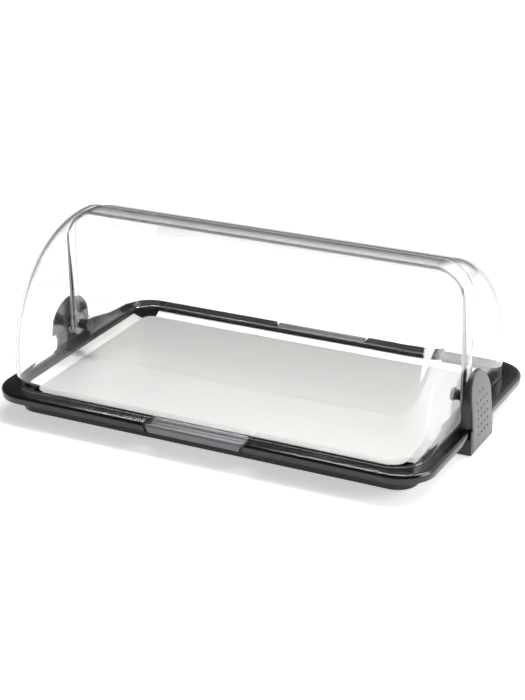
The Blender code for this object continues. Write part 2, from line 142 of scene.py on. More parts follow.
# Wiping marks are about 90 mm across.
marks = add_node(tree, "ShaderNodeTexNoise", {"Scale": 1 / (90 * MM), "Detail": 2.0},
                 {"Vector": place.outputs["Object"]})
film = add_node(tree, "ShaderNodeMapRange", {"To Min": 0.0, "To Max": 0.012},
                {"Value": marks.outputs["Fac"]})
facing = add_node(tree, "ShaderNodeSeparateXYZ", links={"Vector": place.outputs["Normal"]})
square = add_node(tree, "ShaderNodeMath", {"operation": "MULTIPLY"},
                  {0: facing.outputs["Y"], 1: facing.outputs["Y"]})
ends = add_node(tree, "ShaderNodeMath", {"operation": "GREATER_THAN"}, {0: square.outputs["Value"]})
ends.inputs[1].default_value = trim_facing
where = add_node(tree, "ShaderNodeSeparateXYZ", links={"Vector": place.outputs["Object"]})
middle_zone = add_node(tree, "ShaderNodeMath", {"operation": "COMPARE"}, {0: where.outputs["Y"]})
middle_zone.inputs[1].default_value = 0.0
middle_zone.inputs[2].default_value = trim_zone
trimmed = add_node(tree, "ShaderNodeMath", {"operation": "MULTIPLY"},
                   {0: ends.outputs["Value"], 1: middle_zone.outputs["Value"]})
clearness = add_node(tree, "ShaderNodeMapRange", {"To Min": 1.0, "To Max": trim_clearness},
                     {"Value": trimmed.outputs["Value"]})
tree.links.new(clearness.outputs["Result"], shader.inputs["Transmission Weight"])
matt_edge = add_node(tree, "ShaderNodeMath", {"operation": "MULTIPLY_ADD"},
                     {0: trimmed.outputs["Value"], 2: film.outputs["Result"]})
matt_edge.inputs[1].default_value = trim_roughness
tree.links.new(matt_edge.outputs["Value"], shader.inputs["Roughness"])
# Painted shade: the base colour runs from near white to near black as the surface turns edge-on,
# drawing the shells' dark outlines.
slant = add_node(tree, "ShaderNodeLayerWeight", {"Blend": 0.5})
painted_edge_shade = add_node(tree, "ShaderNodeValToRGB", links={"Fac": slant.outputs["Facing"]})
ramp = painted_edge_shade.color_ramp
ramp.elements[0].position, ramp.elements[0].color = 0.56, linear("#fcfdfd")
ramp.elements[1].position, ramp.elements[1].color = 0.83, linear("#1c1e20")
middle = ramp.elements.new(0.71)
middle.color = linear("#dfe0e0")
tree.links.new(painted_edge_shade.outputs["Color"], shader.inputs["Base Color"])
print(clear_san.name, "bends light by", round(shader.inputs["IOR"].default_value, 2))

# %% [markdown]
# ## Base: high-gloss black ABS
# A polished mould gives ABS a deep gloss. What the eye reads is not the black but the light in it:
# a bright line on each rounded edge. Polished mouldings are never perfectly flat, so a weak ripple
# of a few millimetres, like orange peel, softens the reflections.

# %% Gloss black plastic
black_abs, tree, shader = new_finish("polished_black_abs", "#060607", 0.12, ior=1.54)
shader.inputs["Specular IOR Level"].default_value = 0.55
place = add_node(tree, "ShaderNodeTexCoord")
peel = add_node(tree, "ShaderNodeTexNoise", {"Scale": 1 / (6 * MM), "Detail": 1.0},
                {"Vector": place.outputs["Object"]})
ripple = add_node(tree, "ShaderNodeBump", {"Strength": 0.02, "Distance": 0.2 * MM},
                  {"Height": peel.outputs["Fac"]})
tree.links.new(ripple.outputs["Normal"], shader.inputs["Normal"])
handling = add_node(tree, "ShaderNodeTexNoise", {"Scale": 1 / (35 * MM), "Detail": 4.0},
                    {"Vector": place.outputs["Object"]})
gloss = add_node(tree, "ShaderNodeMapRange", {"To Min": 0.08, "To Max": 0.2},
                 {"Value": handling.outputs["Fac"]})
tree.links.new(gloss.outputs["Result"], shader.inputs["Roughness"])
print(black_abs.name, "has", len(tree.nodes), "nodes")

# %% [markdown]
# ## Face plates of the ears: spark-eroded grey ABS
# The grey plates have a satin, lightly grained skin, copied from a mould that was etched by
# sparks. The grain of about 0.4 mm is drawn at 1 mm, because a finer one would not show.

# %% Satin grey plastic
grey_abs, tree, shader = new_finish("spark_eroded_grey_abs", "#5e5f62", 0.4, ior=1.54)
place = add_node(tree, "ShaderNodeTexCoord")
grain = add_node(tree, "ShaderNodeTexNoise", {"Scale": 1 / (1 * MM), "Detail": 3.0},
                 {"Vector": place.outputs["Object"]})
skin = add_node(tree, "ShaderNodeBump", {"Strength": 0.25, "Distance": 0.06 * MM},
                {"Height": grain.outputs["Fac"]})
tree.links.new(skin.outputs["Normal"], shader.inputs["Normal"])
satin = add_node(tree, "ShaderNodeMapRange", {"To Min": 0.34, "To Max": 0.5},
                 {"Value": grain.outputs["Fac"]})
tree.links.new(satin.outputs["Result"], shader.inputs["Roughness"])
print(grey_abs.name, "roughness from 0.34 to 0.5")

# %% [markdown]
# ## Tray: brushed stainless steel
# The sheet was brushed along its length with a fine belt. Brushing leaves long, thin lines that
# spread a reflection sideways and hardly along. Noise that is stretched 150 times along X draws
# those lines, both as tiny ridges and as streaks of roughness. The real lines are a tenth of a
# millimetre apart, and they are drawn at half a millimetre so that they show.

# %% Brushed steel
brushed_steel, tree, shader = new_finish("brushed_stainless_steel", "#cdcdca", 0.3, metallic=1.0)
place = add_node(tree, "ShaderNodeTexCoord")
stretch = add_node(tree, "ShaderNodeMapping", {"Scale": (1 / 150, 1.0, 1.0)},
                   {"Vector": place.outputs["Object"]})
lines = add_node(tree, "ShaderNodeTexNoise", {"Scale": 1 / (0.5 * MM), "Detail": 3.0},
                 {"Vector": stretch.outputs["Vector"]})
streaks = add_node(tree, "ShaderNodeMapRange", {"To Min": 0.34, "To Max": 0.48},
                   {"Value": lines.outputs["Fac"]})
tree.links.new(streaks.outputs["Result"], shader.inputs["Roughness"])
ridges = add_node(tree, "ShaderNodeBump", {"Strength": 0.12, "Distance": 0.02 * MM},
                  {"Height": lines.outputs["Fac"]})
tree.links.new(ridges.outputs["Normal"], shader.inputs["Normal"])
print(brushed_steel.name, "lines", 150, "times as long as wide")

# %% [markdown]
# ## Ear bodies, grips, pins, washers and feet
# The ears' bodies are satin black ABS and the grips satin grey ABS. The pins are black acetal, a
# slippery plastic with a soft shine. The washers are undyed nylon, which is milky and lets some
# light through, and the feet are matt rubber. Each gets a fine grain so that it is not flat.

# %% Small finishes
def grained(name, colour, low, high, grain_size, ior):
    """A plain moulded finish whose roughness varies with a grain of a real size."""
    material, tree, shader = new_finish(name, colour, (low + high) / 2, ior=ior)
    place = add_node(tree, "ShaderNodeTexCoord")
    grain = add_node(tree, "ShaderNodeTexNoise", {"Scale": 1 / grain_size, "Detail": 3.0},
                     {"Vector": place.outputs["Object"]})
    spread = add_node(tree, "ShaderNodeMapRange", {"To Min": low, "To Max": high},
                      {"Value": grain.outputs["Fac"]})
    tree.links.new(spread.outputs["Result"], shader.inputs["Roughness"])
    skin = add_node(tree, "ShaderNodeBump", {"Strength": 0.15, "Distance": 0.05 * MM},
                    {"Height": grain.outputs["Fac"]})
    tree.links.new(skin.outputs["Normal"], shader.inputs["Normal"])
    return material


grip_abs = grained("satin_grip_abs", "#77787b", 0.3, 0.42, 1.0 * MM, 1.54)
black_satin = grained("satin_black_abs", "#161617", 0.34, 0.5, 1.0 * MM, 1.54)
black_acetal = grained("black_acetal", "#1b1b1d", 0.24, 0.36, 1.5 * MM, 1.48)
undyed_nylon = grained("undyed_nylon", "#c4c4be", 0.4, 0.55, 1.5 * MM, 1.53)
undyed_nylon.node_tree.nodes["Principled BSDF"].inputs["Transmission Weight"].default_value = 0.6
foot_rubber = grained("matt_black_rubber", "#141414", 0.75, 0.9, 1 * MM, 1.52)
print("small finishes:", black_acetal.name, undyed_nylon.name, foot_rubber.name)

# %% [markdown]
# ## Helpers that build shapes
# Three ways of making a surface cover the whole case. A loft skins a row of loops, which suits the
# rim. A turned shape spins a profile about the pins' axis, which suits shells and pins. A prism
# pushes a flat outline along an axis, which suits cutters and grips.

# %% Arcs and rounded rectangles
def arc(centre, radius, start, end, steps):
    """Points of an arc from one angle to another, in radians."""
    points = []
    for index in range(steps + 1):
        angle = start + (end - start) * index / steps
        points.append((centre[0] + radius * math.cos(angle), centre[1] + radius * math.sin(angle)))
    return points


def rounded_rectangle(half_x, half_y, radius, steps):
    """Points of a rounded rectangle round the origin, anticlockwise."""
    points = []
    for quarter, (side_x, side_y) in enumerate(((1, 1), (-1, 1), (-1, -1), (1, -1))):
        centre = (side_x * (half_x - radius), side_y * (half_y - radius))
        start = quarter * QUARTER_TURN
        points += arc(centre, radius, start, start + QUARTER_TURN, steps)
    return points


print("a corner of 4 steps has", len(arc((0, 0), 1.0, 0.0, QUARTER_TURN, 4)), "points")

# %% Lofts, turned shapes and prisms
def close_up(bm, name):
    """Turn a bmesh into a mesh with its faces pointing out."""
    bmesh.ops.recalc_face_normals(bm, faces=bm.faces)
    if bm.calc_volume(signed=True) < 0:
        bmesh.ops.reverse_faces(bm, faces=bm.faces)
    mesh = bpy.data.meshes.new(name)
    bm.to_mesh(mesh)
    bm.free()
    return mesh


def loft(name, sections):
    """Skin loops of equal count one after another, and cap both ends."""
    bm = bmesh.new()
    loops = [[bm.verts.new(point) for point in points] for points in sections]
    for low, high in zip(loops, loops[1:]):
        for index in range(len(low)):
            bm.faces.new((low[index - 1], low[index], high[index], high[index - 1]))
    bm.faces.new(loops[0])
    bm.faces.new(loops[-1])
    return close_up(bm, name)


def turned(name, profile, steps, closed=False):
    """Spin a profile of (radius, distance) points about X."""
    bm = bmesh.new()
    verts = [bm.verts.new((distance, 0.0, radius)) for radius, distance in profile]
    edges = [bm.edges.new(pair) for pair in zip(verts, verts[1:])]
    if closed:
        edges.append(bm.edges.new((verts[-1], verts[0])))
    bmesh.ops.spin(bm, geom=verts + edges, axis=(1, 0, 0), cent=(0, 0, 0), steps=steps,
                   angle=2 * HALF_TURN, use_merge=True)
    bmesh.ops.remove_doubles(bm, verts=bm.verts, dist=0.002 * MM)
    return close_up(bm, name)


def prism(name, outline, low, high, place):
    """Push a flat outline between two distances; place turns (u, v, w) into a point."""
    bm = bmesh.new()
    near = [bm.verts.new(place(u, v, low)) for u, v in outline]
    far = [bm.verts.new(place(u, v, high)) for u, v in outline]
    for index in range(len(outline)):
        bm.faces.new((near[index - 1], near[index], far[index], far[index - 1]))
    bm.faces.new(near)
    bm.faces.new(far)
    return close_up(bm, name)


def along_x(u, v, w):
    """Outline in the YZ plane, pushed along X."""
    return Vector((w, u, v))


def along_y(u, v, w):
    """Outline in the XZ plane, pushed along Y."""
    return Vector((u, w, v))


def box(name, low, high):
    """A box between two corners."""
    outline = [(low[0], low[1]), (high[0], low[1]), (high[0], high[1]), (low[0], high[1])]
    return prism(name, outline, low[2], high[2], lambda u, v, w: Vector((u, v, w)))


print("helpers ready: loft, turned, prism, box")

# %% [markdown]
# ## Cutting, rounding and placing
# A Boolean modifier cuts one mesh with another, and a Bevel modifier rounds the edges that are
# left sharp. Both are applied at once, so that each piece ends as a plain mesh and the cutters
# can go. The last helper gives the piece its finish, hides the solid it stands in for and lets it
# ride.

# %% Cutting and placing helpers
sharp_angle = math.radians(35)


def cut(mesh, cutter, operation="DIFFERENCE"):
    """Cut, join or intersect two meshes and return the result; the cutter is used up."""
    piece = bpy.data.objects.new("piece", mesh)
    tool = bpy.data.objects.new("tool", cutter)
    for thing in (piece, tool):
        bpy.context.scene.collection.objects.link(thing)
    step = piece.modifiers.new("cut", "BOOLEAN")
    step.operation = operation
    step.object = tool
    step.solver = "EXACT"
    result = bake(piece)
    bpy.data.objects.remove(tool)
    return result


def bake(piece):
    """The mesh of an object with its modifiers, and the object is removed."""
    bpy.context.view_layer.update()
    graph = bpy.context.evaluated_depsgraph_get()
    result = bpy.data.meshes.new_from_object(piece.evaluated_get(graph))
    bpy.data.objects.remove(piece)
    return result


def rounded(mesh, width, steps=3, angle=35.0):
    """Round every edge that is sharper than an angle."""
    piece = bpy.data.objects.new("piece", mesh)
    bpy.context.scene.collection.objects.link(piece)
    step = piece.modifiers.new("round", "BEVEL")
    step.width = width
    step.segments = steps
    step.limit_method = "ANGLE"
    step.angle_limit = math.radians(angle)
    step.use_clamp_overlap = True
    step.harden_normals = False
    return bake(piece)


def dressed(name, mesh, finish):
    """An object with its finish, smooth but for its sharp edges."""
    piece = bpy.data.objects.new(name, mesh)
    bpy.context.scene.collection.objects.link(piece)
    mesh.materials.clear()
    mesh.materials.append(finish)
    mesh.shade_smooth()
    mesh.set_sharp_from_angle(angle=sharp_angle)
    print(name, len(mesh.polygons), "faces")
    return piece


def show(name, mesh, finish, body, node):
    """Show a mesh in the place of a node, with its finish, riding on a body."""
    piece = dressed(name, mesh, finish)
    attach(piece, body)
    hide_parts(node)
    return piece


def swing(mesh, side):
    """Turn a mesh half round about Z for the left side."""
    if side < 0:
        mesh.transform(Matrix.Rotation(HALF_TURN, 4, "Z"))
    return mesh


# %% [markdown]
# ## Base
# The base is one moulding: a rim that folds down to a lip all round, a seat for the tray, a well
# for cool packs and a skirt. Its section never changes, so we walk the section round the plan.
# The inset of each point says how far it lies inside the outline. Two windows in the rim take
# the grips. A faint slope before the rim's rounding catches the light as a thin line.

# %% Base moulding
rim_slope = 2.2 * MM
rim_slope_tilt = math.radians(14)


def rim_section(steps):
    """The base from its well floor, over the rim and back to the well's underside."""
    body_wall = body_inset + rim_wall
    well_wall = ledge_inset - rim_wall
    ledge_bottom = ledge_top - rim_wall
    section = [(ledge_inset, well_floor), (ledge_inset, ledge_top), (seat_inset, ledge_top)]
    section += arc((seat_inset - seat_round, rim_top - seat_round), seat_round,
                   0.0, QUARTER_TURN, steps)
    slope_drop = rim_slope * math.tan(rim_slope_tilt)
    corner = arc((rim_round, rim_top - rim_round - slope_drop), rim_round,
                 QUARTER_TURN + rim_slope_tilt, HALF_TURN, 2 * steps)
    section += [(corner[0][0] + rim_slope, rim_top)] + corner
    section += [
        (lip_draft, lip_bottom),
        (rim_wall, lip_bottom),
        (rim_wall, web_bottom),
        (body_inset, web_bottom),
        (body_inset + body_draft, body_bottom),
        (body_wall + body_draft, body_bottom),
        (body_wall, ledge_bottom),
        (well_wall, ledge_bottom),
        (well_wall, well_bottom),
    ]
    return section


def rim_loop(inset, height, steps):
    """The rounded rectangle that one point of the section follows."""
    radius = corner_radius - inset
    if inset >= body_inset:
        radius = body_corner_radius - (inset - body_inset)
    points = rounded_rectangle(half_length - inset, half_depth - inset, radius, steps)
    on_round = inset < rim_round and height > lip_bottom
    lift = rim_slope * math.tan(rim_slope_tilt) if on_round else 0.0
    return [(x, y, height + lift * (0.5 + 0.5 * y / half_depth)) for x, y in points]


grip_half_length = 58 * MM
grip_notch = 3.4 * MM
grip_taper = 3 * MM
grip_depth = 24 * MM

base_mesh = loft("base", [rim_loop(inset, height, 20) for inset, height in rim_section(5)])
for side in (-1, 1):
    low = lip_bottom - overrun
    top = rim_top + overrun
    half = grip_half_length + grip_notch
    flare = grip_taper * (top - low) / (rim_top - lip_bottom)
    outline = [(-half, low), (half, low), (half + flare, top), (-half - flare, top)]
    near, far = sorted((side * (half_depth - grip_depth), side * (half_depth + overrun)))
    base_mesh = cut(base_mesh, prism("window", outline, near, far, along_y))
base_mesh = rounded(base_mesh, 0.5 * MM)
show("black_base", base_mesh, black_abs, "base", "base_tray")

# %% [markdown]
# ## Steel tray
# The tray is folded from one sheet: a flat floor and four flanges that rise to the rim. The sheet
# is cut away at its corners so that it can be folded, and the black base shows there. A Solidify
# modifier gives the sheet its thickness, and a small bevel softens the folds.

# %% Folded steel tray
sheet = 0.9 * MM
flange_width = 15 * MM
flange_rise = 3 * MM
tray_clearance = 0.5 * MM
tray_corner = 13 * MM
flange_splay = 3 * MM


def folded_tray(steps):
    """The tray's upper surface: a rounded floor and four flanges."""
    floor_x = half_length - seat_inset - tray_clearance - flange_width
    floor_y = half_depth - seat_inset - tray_clearance - flange_width
    floor_z = ledge_top + seat_gap + sheet
    bm = bmesh.new()
    verts = [bm.verts.new((x, y, floor_z))
             for x, y in rounded_rectangle(floor_x, floor_y, tray_corner, steps)]
    bm.faces.new(verts)
    count = steps + 1
    for quarter in range(4):
        first, second = verts[quarter * count - 1], verts[quarter * count]
        outward = Matrix.Rotation(quarter * QUARTER_TURN, 3, "Z") @ Vector((1, 0, 0))
        run = (second.co - first.co).normalized() * flange_splay
        rise = outward * flange_width + Vector((0, 0, flange_rise))
        far_first = bm.verts.new(first.co + rise - run)
        far_second = bm.verts.new(second.co + rise + run)
        bm.faces.new((first, far_first, far_second, second))
    bmesh.ops.recalc_face_normals(bm, faces=bm.faces)
    if bm.faces[:][0].normal.z < 0:
        bmesh.ops.reverse_faces(bm, faces=bm.faces)
    mesh = bpy.data.meshes.new("tray")
    bm.to_mesh(mesh)
    bm.free()
    return mesh


sheet_piece = bpy.data.objects.new("sheet", folded_tray(12))
bpy.context.scene.collection.objects.link(sheet_piece)
folds = sheet_piece.modifiers.new("folds", "BEVEL")
folds.width = 1.5 * MM
folds.segments = 4
folds.limit_method = "ANGLE"
folds.angle_limit = math.radians(5)
thicken = sheet_piece.modifiers.new("sheet", "SOLIDIFY")
thicken.thickness = sheet
thicken.offset = -1.0
thicken.use_even_offset = True
show("folded_steel_tray", bake(sheet_piece), brushed_steel, "base", "steel_tray")

# %% [markdown]
# ## Clear shells
# Each shell is a quarter of a hollow drum. We spin the whole drum's section about the pins, and
# then keep one side of it. The side outline leaves a round lobe about the pin, so that the shells
# can turn past each other. The inner shell is 5 mm smaller all round: a wall and a gap.
# The cut edges get a polished rounding, which is where clear plastic looks brightest and darkest.

# %% Shell sizes and section
shell_wall = 3 * MM
shell_gap = 2 * MM
shell_fillet = 40 * MM
front_overlap = 6 * MM
rear_overlap = 14 * MM
lobe_radius = 14 * MM
lobe_relief = 22 * MM
relief_round = 6 * MM
hub_radius = 9 * MM
hub_boss = 0.8 * MM
pin_radius = 4 * MM
running_gap = 0.3 * MM
free_edge_round = 0.3 * MM
barrel_radius = half_depth - shell_inset
outer_end = half_length - shell_inset
inner_radius = barrel_radius - shell_wall - shell_gap
inner_end = outer_end - shell_wall - shell_gap


def drum_section(radius, end, fillet, boss_out, boss_in, steps):
    """The closed section of a hollow drum, as (radius, distance) points."""
    bore = pin_radius + running_gap
    corner = (end - fillet, radius - fillet)
    outside = [(bore, end + boss_out)]
    if boss_out:
        outside += [(hub_radius, end + boss_out), (hub_radius, end)]
    outside += [(r, x) for x, r in arc(corner, fillet, 0.0, QUARTER_TURN, steps)]
    inside = [(r, x) for x, r in arc(corner, fillet - shell_wall, QUARTER_TURN, 0.0, steps)]
    if boss_in:
        inside += [(hub_radius, end - shell_wall), (hub_radius, end - shell_wall - boss_in)]
    inside += [(bore, end - shell_wall - boss_in)]
    mirrored = [(r, -x) for r, x in reversed(outside)] + [(r, -x) for r, x in reversed(inside)]
    return outside + mirrored + inside


print("outer shell", round(barrel_radius / MM, 1), "mm, inner", round(inner_radius / MM, 1), "mm")

# %% Shell outline and shells
def keep_outline(radius, overlap, side, steps):
    """What is kept of a drum, seen from its end: one side, with a lobe round the pin."""
    drop = pivot_height - rim_top - seat_gap
    reach = radius + overrun
    lobe_start = HALF_TURN - math.acos(min(1.0, overlap / lobe_radius))
    outline = [(-overlap, reach)]
    outline += arc((0.0, 0.0), lobe_radius, lobe_start, 2 * HALF_TURN, steps)
    outline += arc((lobe_relief - relief_round, -relief_round), relief_round, QUARTER_TURN, 0.0, 8)
    outline += [(lobe_relief, -drop), (reach, -drop), (reach, reach)]
    return [(side * u, v) for u, v in outline]


def clear_shell(name, radius, end, fillet, overlap, side, boss_out, boss_in):
    """One quarter-barrel shell, at its place on the pins."""
    drum = turned(name, drum_section(radius, end, fillet, boss_out, boss_in, 14), 240, closed=True)
    outline = keep_outline(radius, overlap, side, 32)
    keep = prism("keep", outline, -end - overrun, end + overrun, along_x)
    mesh = rounded(cut(drum, keep, "INTERSECT"), free_edge_round, steps=3, angle=50.0)
    mesh.transform(Matrix.Translation((0.0, 0.0, pivot_height)))
    return mesh


front_mesh = clear_shell("front", barrel_radius, outer_end, shell_fillet,
                         front_overlap, -1, hub_boss, 0.0)
rear_mesh = clear_shell("rear", inner_radius, inner_end, shell_fillet - shell_wall - shell_gap,
                        rear_overlap, 1, 0.0, hub_boss)
front = show("clear_front_shell", front_mesh, clear_san, "front_hood", "front_shell")
rear = show("clear_rear_shell", rear_mesh, clear_san, "rear_hood", "rear_shell")
for shell in (front, rear):
    shell.visible_shadow = False

# %% [markdown]
# ## Ears
# An ear is a tall black body over a bracket that hooks round the rim's lip and carries the pin, and
# a thin grey plate closes it on the outside. It leans in towards its top and is narrower outside
# than inside. We skin its side view in several stations from one face to the other, and each
# station is a little smaller near the two faces, which rounds the edges.

# %% Ear sizes
ear_half_width = 36 * MM
ear_face_half_width = 29.5 * MM
ear_top = 91 * MM
ear_shoulder = 58 * MM
ear_plate = 3.2 * MM
ear_lean = 9 * MM
ear_bottom = 2.5 * MM
face_plate = 2.4 * MM
ear_boss_radius = 9.5 * MM
ear_boss_height = 0.9 * MM
ear_panel_margin = 6 * MM
ear_panel_depth = 2.5 * MM
washer_thickness = 1.7 * MM
washer_radius = 8.4 * MM
pin_seat_depth = 7 * MM
hub_face = outer_end + hub_boss
washer_face = hub_face + seat_gap
boss_face = washer_face + washer_thickness + seat_gap
ear_inner = boss_face + ear_boss_height
ear_outer = half_length + seat_gap + ear_plate
lip_skin = half_length + seat_gap
print("ear from", round(ear_inner / MM, 1), "to", round(ear_outer / MM, 1), "mm along X")

# %% Ear body
def ear_outline(half, low, shrink, steps):
    """The ear's side view: straight sides under half an ellipse, less a margin round the top."""
    half = half - shrink
    rise = ear_top - ear_shoulder - shrink
    levels = [low + (ear_shoulder - low) * index / 12 for index in range(12)]
    points = [(-half, level) for level in levels]
    for index in range(steps + 1):
        angle = HALF_TURN * (1 - index / steps)
        points.append((half * math.cos(angle), ear_shoulder + rise * math.sin(angle)))
    return points + [(half, level) for level in reversed(levels)]


def ear_face(z):
    """How far out the ear's outer face lies at a height."""
    return ear_outer - ear_lean * (z / ear_top) ** 3


def ear_stations(first, last, edge_round):
    """Shares of the way out and margins, with five stations round each edge."""
    edge = edge_round / (ear_outer - ear_inner)
    turns = [QUARTER_TURN * index / 4 for index in range(5)]
    near = [(edge * (1 - math.cos(t)), edge_round * (1 - math.sin(t))) for t in turns]
    return [(first + share, shrink) for share, shrink in near] + [
        (last - share, shrink) for share, shrink in reversed(near)]


def ear_blank(first, last, edge_round, steps):
    """A layer of the ear, with both its faces laid in strips so that they can lean."""
    bm = bmesh.new()
    loops = []
    for share, shrink in ear_stations(first, last, edge_round):
        half = ear_half_width + (ear_face_half_width - ear_half_width) * share
        loops.append([bm.verts.new((ear_inner + (ear_face(z) - ear_inner) * share, y, z))
                      for y, z in ear_outline(half, ear_bottom, shrink, steps)])
    for low, high in zip(loops, loops[1:]):
        for index in range(len(low)):
            bm.faces.new((low[index - 1], low[index], high[index], high[index - 1]))
    for face in (loops[0], loops[-1]):
        far = len(face) - 1
        for index in range(far // 2):
            strip = [face[index], face[index + 1], face[far - index - 1], face[far - index]]
            bm.faces.new(list(dict.fromkeys(strip)))
    bmesh.ops.triangulate(bm, faces=bm.faces)
    return close_up(bm, "ear")


def pin_cylinder(radius, low, high, steps=48):
    """A cylinder on the pins' axis."""
    mesh = turned("cylinder", [(0.0, low), (radius, low), (radius, high), (0.0, high)], steps)
    mesh.transform(Matrix.Translation((0.0, 0.0, pivot_height)))
    return mesh


inside = ear_inner - overrun
wide = ear_half_width + overrun
panel_low = rim_top + seat_gap + ear_panel_margin
plate_share = 1 - face_plate / (ear_outer - ear_inner)
ear_mesh = cut(ear_blank(0.0, plate_share, 0.8 * MM, 64),
               box("under", (inside, -wide, -overrun), (lip_skin + 1 * MM, wide, rim_top + seat_gap)))
ear_mesh = cut(ear_mesh, prism("panel", ear_outline(ear_half_width, panel_low, ear_panel_margin, 64),
                               inside, ear_inner + ear_panel_depth, along_x))
ear_mesh = cut(ear_mesh, pin_cylinder(pin_radius + seat_gap, inside,
                                      ear_inner + pin_seat_depth + seat_gap))
ear_mesh = rounded(ear_mesh, 0.3 * MM, steps=2, angle=50.0)
for side, name in ((-1, "left"), (1, "right")):
    show(f"{name}_ear_body", swing(ear_mesh.copy(), side), black_satin, "base",
         f"{name}_ear")

# %% [markdown]
# A thin grey plate closes the ear on the outside. Its dimples lie in a square grid with two more on
# top. Each cutter is a small ball whose centre lies just outside the face, and so it leaves a round
# dish that looks dark because little light reaches its bottom.

# %% Face plate with dimples
dimple_radius = 2 * MM
dimple_depth = 1.4 * MM
dimple_columns = 4
dimple_rows = 6
dimple_pitch = 9.7 * MM
dimple_lowest = 19.5 * MM
ball_radius = (dimple_radius ** 2 + dimple_depth ** 2) / (2 * dimple_depth)

balls = bmesh.new()
for row in range(dimple_rows):
    for column in range(dimple_columns):
        if row == dimple_rows - 1 and column in (0, dimple_columns - 1):
            continue
        y = (column - (dimple_columns - 1) / 2) * dimple_pitch
        z = dimple_lowest + row * dimple_pitch
        where = Matrix.Translation((ear_face(z) + ball_radius - dimple_depth, y, z))
        bmesh.ops.create_uvsphere(balls, u_segments=24, v_segments=16, radius=ball_radius,
                                  matrix=where @ Matrix.Rotation(QUARTER_TURN, 4, "Y"))
plate_mesh = cut(ear_blank(plate_share + 0.005, 1.0, 0.9 * MM, 64), close_up(balls, "balls"))


def show_beside(name, mesh, finish):
    """Show a further piece of an ear, which no node stands for alone."""
    piece = dressed(name, mesh, finish)
    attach(piece, "base")


for side, name in ((-1, "left"), (1, "right")):
    show_beside(f"{name}_ear_face_plate", swing(plate_mesh.copy(), side), grey_abs)

# %% [markdown]
# Under the body sits the black bracket. It runs round the lip from below, and its hook stands
# behind the lip. Its cross-section is drawn once and cut out of a block along Y. A black ring
# round the pin keeps the body clear of the shells.

# %% Ear bracket and ring
bracket_half_width = 35 * MM
bracket_setback = 0.7 * MM
bracket_bottom = 0.5 * MM
hook_wall = 2.6 * MM
block_top = 17.5 * MM
channel = half_length - rim_wall - seat_gap
hook = channel - hook_wall
block_inner = half_length - body_inset + seat_gap

rim_space = [
    (block_inner - overrun, block_top), (hook, block_top), (hook, web_bottom - seat_gap),
    (channel, web_bottom - seat_gap), (channel, lip_bottom - seat_gap),
    (lip_skin, lip_bottom - seat_gap), (lip_skin, rim_top + overrun),
    (block_inner - overrun, rim_top + overrun),
]
bracket_mesh = box("bracket", (block_inner, -bracket_half_width, bracket_bottom),
                   (ear_outer - bracket_setback, bracket_half_width, rim_top))
bracket_mesh = cut(bracket_mesh, prism("space", rim_space, -wide, wide, along_y))
bracket_mesh = rounded(bracket_mesh, 0.5 * MM)
bore_radius = pin_radius + seat_gap
ring_mesh = turned("ring", [(bore_radius, boss_face), (ear_boss_radius, boss_face),
                            (ear_boss_radius, ear_inner + ear_panel_depth + 0.2 * MM),
                            (bore_radius, ear_inner + ear_panel_depth + 0.2 * MM)], 64, closed=True)
ring_mesh = rounded(ring_mesh, 0.4 * MM)

for side, name in ((-1, "left"), (1, "right")):
    show_beside(f"{name}_ear_bracket", swing(bracket_mesh.copy(), side), black_abs)
    ring = swing(ring_mesh.copy(), side)
    ring.transform(Matrix.Translation((0.0, 0.0, pivot_height)))
    show_beside(f"{name}_ear_ring", ring, black_acetal)

# %% [markdown]
# ## Pins and washers
# A pin has a flanged head and a thick knob inside the case, and a thin shaft that runs out
# through both shells into the ear. A washer on each side of the outer shell keeps the walls apart.

# %% Pins and washers
knob_radius = 6.2 * MM
knob_length = 11 * MM
head_radius = 8 * MM
head_thickness = 3.2 * MM
head_round = 1 * MM
pin_chamfer = 1 * MM
knob_face = inner_end - shell_wall - hub_boss - seat_gap
knob_end = knob_face - knob_length
head_end = knob_end - head_thickness
tip = ear_inner + pin_seat_depth

pin_profile = [(0.0, head_end)]
pin_profile += arc((head_radius - head_round, head_end + head_round), head_round,
                   -QUARTER_TURN, 0.0, 6)
pin_profile += [(head_radius, knob_end), (knob_radius, knob_end), (knob_radius, knob_face),
                (pin_radius, knob_face), (pin_radius, tip - pin_chamfer),
                (pin_radius - pin_chamfer, tip), (0.0, tip)]
bore = pin_radius + running_gap
rings = {
    "outer_washer": (washer_face, boss_face - seat_gap),
    "inner_washer": (inner_end + seat_gap, outer_end - shell_wall - seat_gap),
}
for side, name in ((-1, "left"), (1, "right")):
    pin = rounded(swing(turned("pin", pin_profile, 64), side), 0.3 * MM, steps=2)
    pin.transform(Matrix.Translation((0.0, 0.0, pivot_height)))
    show(f"{name}_pivot_pin", pin, black_acetal, "base", f"{name}_pin")
    for ring, (low, high) in rings.items():
        profile = [(bore, low), (washer_radius, low), (washer_radius, high), (bore, high)]
        washer = swing(turned("washer", profile, 48, closed=True), side)
        washer.transform(Matrix.Translation((0.0, 0.0, pivot_height)))
        show(f"{name}_{ring}_ring", rounded(washer, 0.15 * MM, steps=2), undyed_nylon, "base",
             f"{name}_{ring}")

# %% [markdown]
# ## Grips
# A grip fills each window of the rim. Its top is a shallow scoop with fine ribs along it, so that
# fingers can get under the shell's edge. The section is written once and pushed along X, and then
# its ends are trimmed to the window's slope with rounded top corners.

# %% Grip section
grip_wall = 2.6 * MM
grip_scoop = 4.2 * MM
grip_lip_drop = 1.2 * MM
grip_corner = 3 * MM
grip_rib = 0.5 * MM
grip_rib_count = 4
grip_tongue = 1.2 * MM


